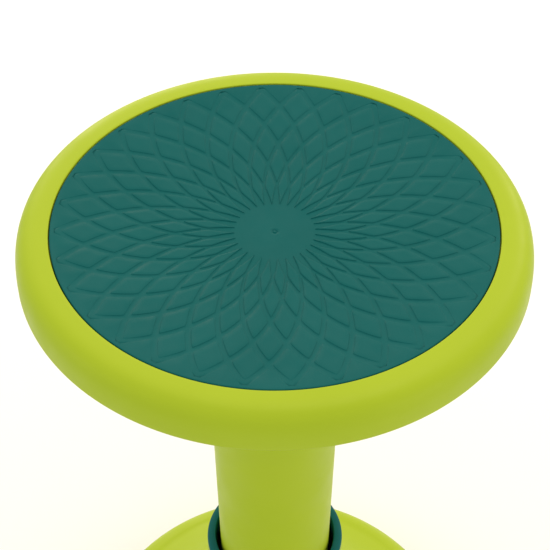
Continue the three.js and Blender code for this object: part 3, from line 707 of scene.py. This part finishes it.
def build_underside():
    edge = UNDER_HIGH.x
    thick = 3 * MM
    radii = [HUB_FACE_RADIUS + (edge - 1 * MM - HUB_FACE_RADIUS) * i / 14 for i in range(15)]
    outline = [(44.6 * MM, HUB_FACE), (56 * MM, HUB_FACE), (64 * MM, HUB_FACE)]
    outline += [(r, cone_height(r)) for r in radii]
    outline += [(edge - 0.3 * MM, cone_height(edge) + 0.3 * MM), (edge, cone_height(edge) + 1 * MM),
                (edge, cone_height(edge) + thick - 0.6 * MM), (edge - 0.6 * MM, cone_height(edge) + thick)]
    outline += [(r, cone_height(r) + thick) for r in radii[::-1]]
    outline += [(56 * MM, HUB_FACE + thick), (44.6 * MM, HUB_FACE + thick),
                (44 * MM, HUB_FACE + thick - 0.6 * MM), (44 * MM, HUB_FACE + 0.6 * MM)]
    cover = turned_piece("underside", outline, "lime_plastic", "seat", ["seat_underside"], 240, 40)
    face = cone_height(UNDERSIDE_CIRCLE)
    slot_middle = cone_height(104 * MM)

    def raised(bm):
        rounded_box(bm, (82 * MM, -23 * MM, slot_middle - 4.2 * MM),
                    (126 * MM, 23 * MM, slot_middle + 3 * MM), 6.5 * MM)
        for x, y in UNDERSIDE_SCREWS:
            drum(bm, x, y, 5.5 * MM, face + 1.5 * MM, face + 4 * MM)
        for x, y in SLEEVE_SCREWS:
            drum(bm, x, y, 6 * MM, HUB_FACE + 1 * MM, PLATE_LOW - 0.3 * MM)

    def openings(bm):
        rounded_box(bm, (84 * MM, -21 * MM, slot_middle - 20 * MM),
                    (124 * MM, 21 * MM, slot_middle + 20 * MM), 5 * MM)
        for x, y in UNDERSIDE_SCREWS:
            drum(bm, x, y, 2.3 * MM, face - 4 * MM, face + 10 * MM)
        for x, y in SLEEVE_SCREWS:
            drum(bm, x, y, 2.8 * MM, HUB_FACE - 1 * MM, PLATE_LOW + 3 * MM)

    def counterbores(bm):
        for x, y in UNDERSIDE_SCREWS:
            drum(bm, x, y, 4.3 * MM, face - 4 * MM, face + 1.9 * MM)
            cone_drum(bm, x, y, 6.3 * MM, 4.3 * MM, face - 1.4 * MM, face + 0.6 * MM)

    combine(cover, raised, "UNION")
    combine(cover, openings, "DIFFERENCE")
    combine(cover, counterbores, "DIFFERENCE")
    smooth(cover, 30)


# ---------------------------------------------------------------- column sleeve
def build_sleeve():
    top, bottom = SLEEVE_HIGH.z, SLEEVE_LOW.z
    flange = SLEEVE_HIGH.x
    taper = 0.0157

    def radius(z):
        return 51.5 * MM - (top - z) * taper

    under = top - 4 * MM
    outline = [
        (radius(bottom) - 3 * MM, bottom),
        (radius(bottom) - 1 * MM, bottom),
        (radius(bottom) - 0.3 * MM, bottom + 0.3 * MM),
        (radius(bottom), bottom + 1 * MM),
    ]
    outline += [(radius(z), z) for z in (bottom + (under - 8 * MM - bottom) * i / 8 for i in range(1, 9))]
    outline += bezier((radius(under), under - 5 * MM), (radius(under), under - 2 * MM),
                      (radius(under) + 2 * MM, under), (radius(under) + 5 * MM, under), 8)
    outline += [(flange - 0.8 * MM, under), (flange, under + 0.8 * MM), (flange, top),
                (radius(top) - 3 * MM, top)]
    sleeve = turned_piece("sleeve", outline, "lime_plastic", "seat", ["column_sleeve"], 160, 40)

    def holes(bm):
        for x, y in SLEEVE_SCREWS:
            drum(bm, x, y, 2.8 * MM, under - 1 * MM, top + 1 * MM)

    combine(sleeve, holes, "DIFFERENCE")
    smooth(sleeve, 40)


# ---------------------------------------------------------------- base
def bell(inset, steps):
    mouth = MOUTH_RADIUS - inset
    top = BASE_HIGH.z
    curve = bezier((mouth, top), (62 * MM - inset, 128 * MM - inset), (100 * MM - inset, 92 * MM - inset),
                   (152 * MM - inset, 72 * MM - inset), steps)
    return curve + arc(152 * MM - inset, 44 * MM, 24 * MM, 28 * MM - inset, 84, 0, steps // 3)


def build_base():
    seam = BASE_SEAM
    widest = BASE_HIGH.x
    outline = [(widest - 3.4 * MM, seam), (widest - 2.8 * MM, seam + 0.6 * MM)]
    outline += bell(0, 36)[::-1]
    outline += bell(WALL, 24)
    outline += [(widest - 3 * MM - WALL, seam)]
    shell = turned_piece("base_bell", outline, "lime_plastic", "base", ["base_shell"], 256, 40)

    def bosses(bm):
        for x, y in BASE_SCREWS:
            drum(bm, x, y, 4.5 * MM, BASE_LOW.z, 69.5 * MM)

    def holes(bm):
        for x, y in BASE_SCREWS:
            drum(bm, x, y, 2.1 * MM, BASE_LOW.z - 5 * MM, BASE_LOW.z + 16 * MM)

    combine(shell, bosses, "UNION")
    combine(shell, holes, "DIFFERENCE")
    smooth(shell, 40)


def rocker(offset, start, end, steps):
    """Points on the curved tread, or on a line that far inside it."""
    radii = [start + (end - start) * i / steps for i in range(steps + 1)]
    return [(r, ROCKER - math.sqrt((ROCKER - offset) ** 2 - (r - FOOT_FLAT) ** 2)) for r in radii]


def build_pan():
    skin = FOOT_THICKNESS + 0.3 * MM
    pocket = FOOT_HIGH.x + 0.3 * MM
    seam = BASE_SEAM - 0.3 * MM
    rim = BASE_HIGH.x - 3 * MM
    outline = [(0, skin)] + rocker(skin, FOOT_FLAT, pocket, 20)
    outline += bezier((pocket, 13.4 * MM), (pocket + 1 * MM, 14.4 * MM),
                      (157 * MM, 16.8 * MM), (160 * MM, 18.9 * MM), 6)
    outline += bezier((160 * MM, 18.9 * MM), (166.5 * MM, 23.5 * MM),
                      (171.5 * MM, 29 * MM), (rim, seam - 0.4 * MM), 10)[1:]
    outline += [(rim - 0.4 * MM, seam), (rim - WALL, seam)]
    outline += bezier((rim - WALL, seam - 0.5 * MM), (167.5 * MM, 30.5 * MM),
                      (163 * MM, 25.5 * MM), (154 * MM, 22.4 * MM), 8)
    outline += rocker(skin + WALL, 148 * MM, 66 * MM, 14) + [(62 * MM, 12 * MM), (0, 12 * MM)]
    pan = turned_piece("pan", outline, "lime_plastic", "base", ["base_pan"], 240, 35)

    def bosses(bm):
        for x, y in BALLAST_SCREWS:
            drum(bm, x, y, 7 * MM, 12 * MM, 25.7 * MM)

    def holes(bm):
        for x, y in BASE_SCREWS:
            drum(bm, x, y, 2.3 * MM, 10 * MM, 30 * MM)
        for x, y in HUB_BOLTS:
            drum(bm, x, y, 3.3 * MM, 0, 20 * MM)
        for x, y in BALLAST_SCREWS:
            drum(bm, x, y, 2.6 * MM, 16 * MM, 40 * MM)

    def counterbores(bm):
        for x, y in BASE_SCREWS:
            drum(bm, x, y, 4.4 * MM, 10 * MM, 20 * MM)
        for x, y in HUB_BOLTS:
            drum(bm, x, y, 6.4 * MM, 0, 9 * MM)

    combine(pan, bosses, "UNION")
    combine(pan, holes, "DIFFERENCE")
    combine(pan, counterbores, "DIFFERENCE")
    smooth(pan, 35)


def build_collar():
    top = BASE_HIGH.z
    mouth = MOUTH_RADIUS
    outline = [
        (50.9 * MM, COLLAR_LOW.z),
        (mouth - WALL - 0.3 * MM, COLLAR_LOW.z),
        (mouth - WALL - 0.3 * MM, top + 0.3 * MM),
        (mouth - 0.2 * MM, top + 0.3 * MM),
    ]
    outline += bezier((mouth + 0.4 * MM, top + 0.8 * MM), (mouth + 1.0 * MM, top + 3.4 * MM),
                      (mouth - 1 * MM, top + 5.2 * MM), (53 * MM, top + 5.4 * MM), 10)
    outline += [(51.4 * MM, top + 5.2 * MM), (50.7 * MM, top + 4.2 * MM)]
    turned_piece("collar", outline, "teal_rubber", "base", ["dust_collar"], 160, 45)


def build_foot():
    """Convex rubber tread: concentric grip grooves round a flat middle."""
    edge = FOOT_HIGH.x

    def low(r):
        return rocker(0, r, r, 1)[0][1] if r > FOOT_FLAT else 0.0

    outline = [(0, 0), (18 * MM, 0)]
    half, depth, pitch = 1.6 * MM, 1.4 * MM, 11 * MM
    r = 24 * MM
    while r < edge - 10 * MM:
        outline += [(r - half, low(r - half)), (r - half * 0.7, low(r) + depth),
                    (r + half * 0.7, low(r) + depth), (r + half, low(r + half)),
                    (r + pitch / 2, low(r + pitch / 2))]
        r += pitch
    outline += [(edge - 1.2 * MM, low(edge - 1.2 * MM)), (edge - 0.3 * MM, low(edge) + 0.4 * MM),
                (edge, low(edge) + 1.2 * MM)]
    outline += rocker(FOOT_THICKNESS, edge, FOOT_FLAT, 14) + [(0, FOOT_THICKNESS)]
    turned_piece("foot", outline, "dark_rubber", "base", ["rubber_foot"], 192, 35)


# ---------------------------------------------------------------- lever
def build_lever_arm():
    bm = bmesh.new()
    length = ARM_HIGH.x - ARM_LOW.x
    profile = [(0, 0), (2.6 * MM, 0), (3.6 * MM, 0.4 * MM), (4 * MM, 1.4 * MM)]
    profile += [(r, length - z) for r, z in profile[::-1]]
    turn(bm, profile, 40)
    bmesh.ops.rotate(bm, verts=bm.verts, cent=(0, 0, 0), matrix=Matrix.Rotation(math.pi / 2, 3, "Y"))
    bmesh.ops.translate(bm, verts=bm.verts, vec=(ARM_LOW.x, 0, PIVOT_Z))
    arm = finish_mesh("arm", bm, "black_steel", "lever", ["lever_arm"], 40)

    def hub_and_nose(bm):
        for x, radius, half in ((PIVOT_X, 6.2 * MM, 5.2 * MM), (0, 4 * MM, 5 * MM)):
            cross_bar(bm, x, PIVOT_Z, radius, half)

    def bore(bm):
        cross_bar(bm, PIVOT_X, PIVOT_Z, 2.3 * MM, 10 * MM)

    combine(arm, hub_and_nose, "UNION")
    combine(arm, bore, "DIFFERENCE")
    smooth(arm, 40)


def cross_bar(bm, x, z, radius, half):
    """A round bar along Y."""
    made = bmesh.ops.create_cone(bm, cap_ends=True, segments=40,
                                 radius1=radius, radius2=radius, depth=2 * half)
    bmesh.ops.rotate(bm, verts=made["verts"], cent=(0, 0, 0), matrix=Matrix.Rotation(math.pi / 2, 3, "X"))
    bmesh.ops.translate(bm, verts=made["verts"], vec=(x, 0, z))


def build_lever_paddle():
    """Finger paddle: a clamp block on the arm, a thin neck through the slot and a ribbed tab."""
    top, low = PADDLE_HIGH.z, PADDLE_LOW.z
    left, right = PADDLE_LOW.x, PADDLE_HIGH.x
    block = top - 14 * MM
    outline = [(left, top), (left, block), (left + 5 * MM, block - 2 * MM), (left + 6.4 * MM, low + 10 * MM)]
    outline += bezier((left + 7 * MM, low + 6 * MM), (left + 6.4 * MM, low + 1.6 * MM),
                      (left + 8 * MM, low + 1 * MM), (left + 11 * MM, low + 1 * MM), 6)
    outline += bezier((right - 3.5 * MM, low), (right - 0.6 * MM, low), (right + 0.2 * MM, low + 1.6 * MM),
                      (right - 1 * MM, low + 3 * MM), 6)
    outline += bezier((right - 12 * MM, low + 4.6 * MM), (right - 15 * MM, low + 5 * MM),
                      (right - 15.4 * MM, low + 6 * MM), (right - 15.4 * MM, low + 9 * MM), 6)
    outline += [(right - 16.5 * MM, block - 2 * MM), (right - 10.5 * MM, block), (right - 10.5 * MM, top)]
    half = PADDLE_HIGH.y
    bm = bmesh.new()
    near = [bm.verts.new((x, -half, z)) for x, z in outline]
    far = [bm.verts.new((x, half, z)) for x, z in outline]
    bm.faces.new(near)
    bm.faces.new(far[::-1])
    count = len(outline)
    for i in range(count):
        j = (i + 1) % count
        bm.faces.new((near[j], near[i], far[i], far[j]))
    bmesh.ops.recalc_face_normals(bm, faces=bm.faces)
    rims = [e for e in bm.edges if abs(e.verts[0].co.y - e.verts[1].co.y) < half]
    bmesh.ops.bevel(bm, geom=rims, offset=0.9 * MM, segments=3, profile=0.5,
                    affect="EDGES", clamp_overlap=True)
    paddle = finish_mesh("paddle", bm, "black_plastic", "lever", ["lever_paddle"], 35)

    def grip_ribs(bm):
        for x in (right - 16 * MM, right - 12.5 * MM, right - 9 * MM, right - 5.5 * MM):
            cross_bar(bm, x, low + 0.9 * MM, 0.9 * MM, half - 4 * MM)

    def socket(bm):
        made = bmesh.ops.create_cone(bm, cap_ends=True, segments=40, radius1=4.3 * MM, radius2=4.3 * MM,
                                     depth=ARM_HIGH.x + 0.3 * MM - 80 * MM)
        bmesh.ops.rotate(bm, verts=made["verts"], cent=(0, 0, 0), matrix=Matrix.Rotation(math.pi / 2, 3, "Y"))
        bmesh.ops.translate(bm, verts=made["verts"], vec=((ARM_HIGH.x + 80.3 * MM) / 2, 0, PIVOT_Z))

    combine(paddle, grip_ribs, "UNION")
    combine(paddle, socket, "DIFFERENCE")
    smooth(paddle, 35)


# ---------------------------------------------------------------- gas lift, bearing and iron parts
def scaled(outline):
    """An outline given in millimetres."""
    return [(r * MM, z * MM) for r, z in outline]


def heights(name):
    """Lowest and highest point of a CAD node, in millimetres."""
    return [corner.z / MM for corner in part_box(name)]


def lift_radius(z):
    """Outside radius of the gas lift's cylinder, in millimetres: its top end is a slow taper."""
    return LIFT_RADIUS - max(0, z - LIFT_TAPER_START) * LIFT_TAPER


def ring_piece(name, slot, body, inner, outer, edge=0.3):
    """A turned ring with broken edges, between the heights of the CAD node of that name."""
    low, high = heights(name)
    outline = [(inner, low + edge), (inner + edge, low), (outer - edge, low), (outer, low + edge)]
    outline += [(outer, high - edge), (outer - edge, high), (inner + edge, high), (inner, high - edge)]
    return turned_piece(name + "_piece", scaled(outline), slot, body, [name], 96, 50)


def build_rings():
    ring_piece("rod_guide", "zinc_steel", "seat", 5.25, 11.3)
    ring_piece("rod_seal", "dark_rubber", "seat", 5.2, 11.2, 0.6)
    ring_piece("piston_ring", "dark_rubber", "rod", 9.6, 11.35, 0.5)
    ring_piece("bearing_upper_washer", "zinc_steel", "rod", 4.3, 18)
    ring_piece("bearing_lower_washer", "zinc_steel", "base", 4.4, 18)
    ring_piece("bump_stop", "dark_rubber", "rod", 5.3, 18, 1.6)
    ballast = ring_piece("ballast_ring", "cast_iron", "base", 72, 134, 1.2)

    def holes(bm):
        for x, y in BALLAST_SCREWS:
            drum(bm, x, y, 3 * MM, 20 * MM, 50 * MM)

    combine(ballast, holes, "DIFFERENCE")
    smooth(ballast, 40)
    clip = ring_piece("retaining_clip", "zinc_steel", "rod", 3.5, 8.5, 0.2)

    def gap(bm):
        rounded_box(bm, (-1 * MM, -2 * MM, 26 * MM), (12 * MM, 2 * MM, 32 * MM), 0.5 * MM)

    combine(clip, gap, "DIFFERENCE")
    smooth(clip, 40)


def build_lift():
    bottom, top = heights("lift_cylinder")
    bore, radius = LIFT_BORE, LIFT_RADIUS
    outline = [(bore + 0.4, bottom), (radius - 0.8, bottom), (radius, bottom + 0.8),
               (radius, LIFT_TAPER_START), (lift_radius(top), top - 0.4),
               (lift_radius(top) - 0.4, top), (bore, top), (bore, bottom + 0.4)]
    turned_piece("cylinder", scaled(outline), "chrome", "seat", ["lift_cylinder"], 128, 40)
    outer = bore - 0.2
    outline = [(0, top - 26), (outer - 0.5, top - 26), (outer, top - 25.5), (outer, top - 1),
               (outer - 0.5, top - 0.5), (3.8, top - 0.5), (3.2, top - 1.1), (3.2, top - 23), (0, top - 23)]
    turned_piece("valve", scaled(outline), "zinc_steel", "seat", ["valve_body"], 96, 40)
    low, high = heights("release_pin")
    outline = [(0, low), (2.6, low), (3, low + 0.4)] + arc(0, high - 1.2, 3, 1.2, 0, 84, 6) + [(0, high)]
    turned_piece("pin", scaled(outline), "chrome", "pin", ["release_pin"], 64, 40)
    low, high = heights("piston")
    outline = [(3.7, low), (outer - 0.6, low), (outer - 0.2, low + 0.4), (outer - 0.2, low + 5)]
    outline += [(9.4, low + 5), (9.4, low + 9), (outer - 0.2, low + 9), (outer - 0.2, high - 0.4)]
    outline += [(outer - 0.6, high), (3.7, high)]
    turned_piece("piston_piece", scaled(outline), "zinc_steel", "rod", ["piston"], 96, 40)
    shoulder = 43.3
    outline = [(0, 23), (3.0, 23), (4, 24), (4, 27.9), (3.2, 27.9), (3.2, 29.8), (4, 29.8), (4, shoulder),
               (4.6, shoulder), (5, shoulder + 0.4), (5, low - 0.3), (3.5, low - 0.3), (3.5, high + 0.3),
               (5.5, high + 0.3), (5.5, high + 1.2), (4.5, high + 3), (0, high + 3)]
    turned_piece("rod_piece", scaled(outline), "chrome", "rod", ["piston_rod"], 96, 40)


def build_stand():
    low, high = heights("stand_tube")
    radius = 25
    bore = radius - 2.4
    outline = [(4.4, low), (radius - 2, low), (radius - 1.2, low + 0.8), (radius, low + 80), (radius, high),
               (bore, high), (bore, low + 80), (bore - 1.2, low + 4), (4.4, low + 4)]
    turned_piece("tube", scaled(outline), "black_steel", "base", ["stand_tube"], 128, 40)
    outline = [(14.3, high - 59.2), (15.1, high - 60), (bore - 0.1, high - 60), (bore - 0.1, high + 0.3)]
    outline += [(radius, high + 0.3), (radius - 0.2, high + 2), (radius - 0.8, high + 3.1)]
    outline += [(radius - 1.4, high + 3.5), (15.1, high + 3.5), (14.3, high + 2.7)]
    turned_piece("bush", scaled(outline), "nylon", "base", ["guide_bush"], 128, 40)
    low, high = heights("base_hub")
    outline = [(radius - 1, low), (59.2, low), (60, low + 0.8), (60, low + 5.7), (59, low + 6.7)]
    outline.append((42, low + 7.4))
    outline += bezier((42, low + 7.4), (38.5, low + 7.7), (37, low + 9), (36.5, low + 13), 6)[1:]
    outline += [(31.1, high - 1), (30.2, high), (radius + 0.15, high), (radius - 1, 30)]
    hub = turned_piece("hub", scaled(outline), "cast_iron", "base", ["base_hub"], 128, 40)

    def holes(bm):
        for x, y in HUB_BOLTS:
            drum(bm, x, y, 3.1 * MM, 0, 40 * MM)

    combine(hub, holes, "DIFFERENCE")
    smooth(hub, 40)


def build_bearing():
    """A flat cage with eight balls standing proud of both faces."""
    low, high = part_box("bearing_cage")
    middle = (low.z + high.z) / 2
    outline = [(7 * MM, middle - 0.8 * MM), (17 * MM, middle - 0.8 * MM), (17 * MM, middle + 0.8 * MM),
               (7 * MM, middle + 0.8 * MM)]
    cage = turned_piece("bearing", outline, "zinc_steel", "base", ["bearing_cage"], 96, 40)

    def balls(bm):
        for x, y in around(8, 12 * MM):
            made = bmesh.ops.create_icosphere(bm, subdivisions=3, radius=1.75 * MM)
            bmesh.ops.translate(bm, verts=made["verts"], vec=(x, y, middle))

    combine(cage, balls, "UNION")
    smooth(cage, 40)


def build_seat_plate():
    """Pressed plate with the taper socket for the gas lift and two ears for the lever's pivot pin."""
    low, high = PLATE_LOW / MM, PLATE_TOP / MM
    socket_low = SEAT_TOP / MM - 90
    outline = [(lift_radius(socket_low) + 0.15, socket_low), (18.5, socket_low), (19, socket_low + 0.5)]
    outline += [(19, low - 2), (21, low), (73.4, low), (74, low + 0.6), (74, high - 0.6), (73.4, high)]
    outline.append((lift_radius(high) + 0.15, high))
    plate = turned_piece("mount_plate", scaled(outline), "zinc_steel", "seat", ["seat_plate"], 160, 40)

    def ears(bm):
        for side in (-1, 1):
            y = side * 6.75 * MM
            rounded_box(bm, (PIVOT_X - 7 * MM, y - 1.25 * MM, PLATE_TOP - 1 * MM),
                        (PIVOT_X + 7 * MM, y + 1.25 * MM, PIVOT_Z + 6 * MM), 0.4 * MM, 3)

    def holes(bm):
        for x, y in PLATE_BOLTS:
            drum(bm, x, y, 3.3 * MM, PLATE_LOW - 1 * MM, PLATE_TOP + 1 * MM)
        for x, y in SLEEVE_SCREWS:
            drum(bm, x, y, 2.6 * MM, PLATE_LOW - 1 * MM, PLATE_TOP + 1 * MM)

    combine(plate, ears, "UNION")
    combine(plate, holes, "DIFFERENCE")
    combine(plate, lambda bm: cross_bar(bm, PIVOT_X, PIVOT_Z, 2.1 * MM, 12 * MM), "DIFFERENCE")
    smooth(plate, 40)
    bm = bmesh.new()
    cross_bar(bm, PIVOT_X, PIVOT_Z, 1.9 * MM, 9.5 * MM)
    rims = [e for e in bm.edges if abs(e.verts[0].co.y - e.verts[1].co.y) < 1 * MM]
    bmesh.ops.bevel(bm, geom=rims, offset=0.4 * MM, segments=2, profile=0.5, affect="EDGES")
    finish_mesh("pivot", bm, "zinc_steel", "seat", ["lever_pivot_pin"], 40)


# ---------------------------------------------------------------- screws
def screw_mesh(name, shank, length, head, head_height, hex_drive):
    """Pan head with a cross or hexagon recess, and thread crests down to a blunt point.

    The head's face is at z = 0.
    """
    angles = [math.pi / 2 * i / 6 for i in range(7)]
    dome = [(head * math.sin(a), head_height * 0.5 * (1 - math.cos(a))) for a in angles]
    outline = [(0, 0)] + dome[1:] + [(head, head_height - 0.2 * MM), (head - 0.2 * MM, head_height)]
    core = shank * 0.78
    pitch = shank * 0.55
    z = head_height
    outline.append((core, z))
    while z + pitch < head_height + length - shank:
        outline += [(core, z + pitch * 0.35), (shank, z + pitch * 0.6), (core, z + pitch * 0.85)]
        z += pitch
    tip = head_height + length
    outline += [(core, head_height + length - shank * 0.7), (core * 0.5, tip), (0, tip)]
    bm = bmesh.new()
    turn(bm, outline, 32)
    piece = finish_bare(name, bm)

    arm, width = head * 0.55, head * 0.14

    def hexagon(bm):
        drum(bm, 0, 0, head * 0.48, -1 * MM, head_height * 0.6, 6)

    def first_slot(bm):
        rounded_box(bm, (-arm, -width, -1 * MM), (arm, width, head_height * 0.55), width * 0.4, 2)

    def second_slot(bm):
        rounded_box(bm, (-width, -arm, -1 * MM), (width, arm, head_height * 0.55), width * 0.4, 2)

    for recess in (hexagon,) if hex_drive else (first_slot, second_slot):
        combine(piece, recess, "DIFFERENCE")
    smooth(piece, 35)
    mesh = piece.data
    bpy.data.objects.remove(piece)
    return mesh


SCREWS = (
    # node name, how many, body, shank radius, length, head radius, head height, hexagon recess, head up
    ("plate_bolt", 4, "seat", 2.9, 18, 5, 3.6, True, False),
    ("sleeve_screw", 4, "seat", 2.3, 15.5, 4.4, 2.8, False, False),
    ("underside_screw", 6, "seat", 1.8, 12, 3.8, 2.4, False, False),
    ("hub_bolt", 4, "base", 2.9, 9, 6, 3.2, True, False),
    ("ballast_screw", 3, "base", 2.3, 20, 4.6, 3, False, True),
    ("base_screw", 6, "base", 1.8, 16, 4, 2.2, False, False),
)


def build_screws():
    for kind, count, body, shank, length, head, head_height, hex_drive, head_up in SCREWS:
        mesh = screw_mesh(kind, shank * MM, length * MM, head * MM, head_height * MM, hex_drive)
        mesh.materials.append(LOOKS["zinc_steel"])
        for i in range(1, count + 1):
            node = f"{kind}_{i}"
            low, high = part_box(node)
            piece = bpy.data.objects.new(f"{kind}_piece_{i}", mesh)
            piece.location = ((low.x + high.x) / 2, (low.y + high.y) / 2, high.z if head_up else low.z)
            piece.rotation_euler = (math.pi if head_up else 0, 0, 0.7 * i)
            bpy.context.scene.collection.objects.link(piece)
            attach(piece, body)
            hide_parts(node)


# ---------------------------------------------------------------- floor
def build_floor():
    bm = bmesh.new()
    bmesh.ops.create_grid(bm, x_segments=8, y_segments=8, size=15)
    mesh = bpy.data.meshes.new("floor")
    bm.to_mesh(mesh)
    bm.free()
    floor = bpy.data.objects.new("floor", mesh)
    floor.location.z = -0.2 * MM
    bpy.context.scene.collection.objects.link(floor)
    made = new_material("floor", (0.9, 0.9, 0.9), 0.7)
    vary_roughness(made, ramp(made, noise(made, 6, 3), 0.65, 0.75))
    mesh.materials.append(made)


add_camera()
add_studio()
build_seat_pad()
build_seat_shell()
build_underside()
build_sleeve()
build_base()
build_collar()
build_pan()
build_foot()
build_lever_arm()
build_lever_paddle()
build_seat_plate()
build_lift()
build_rings()
build_stand()
build_bearing()
build_screws()
build_floor()
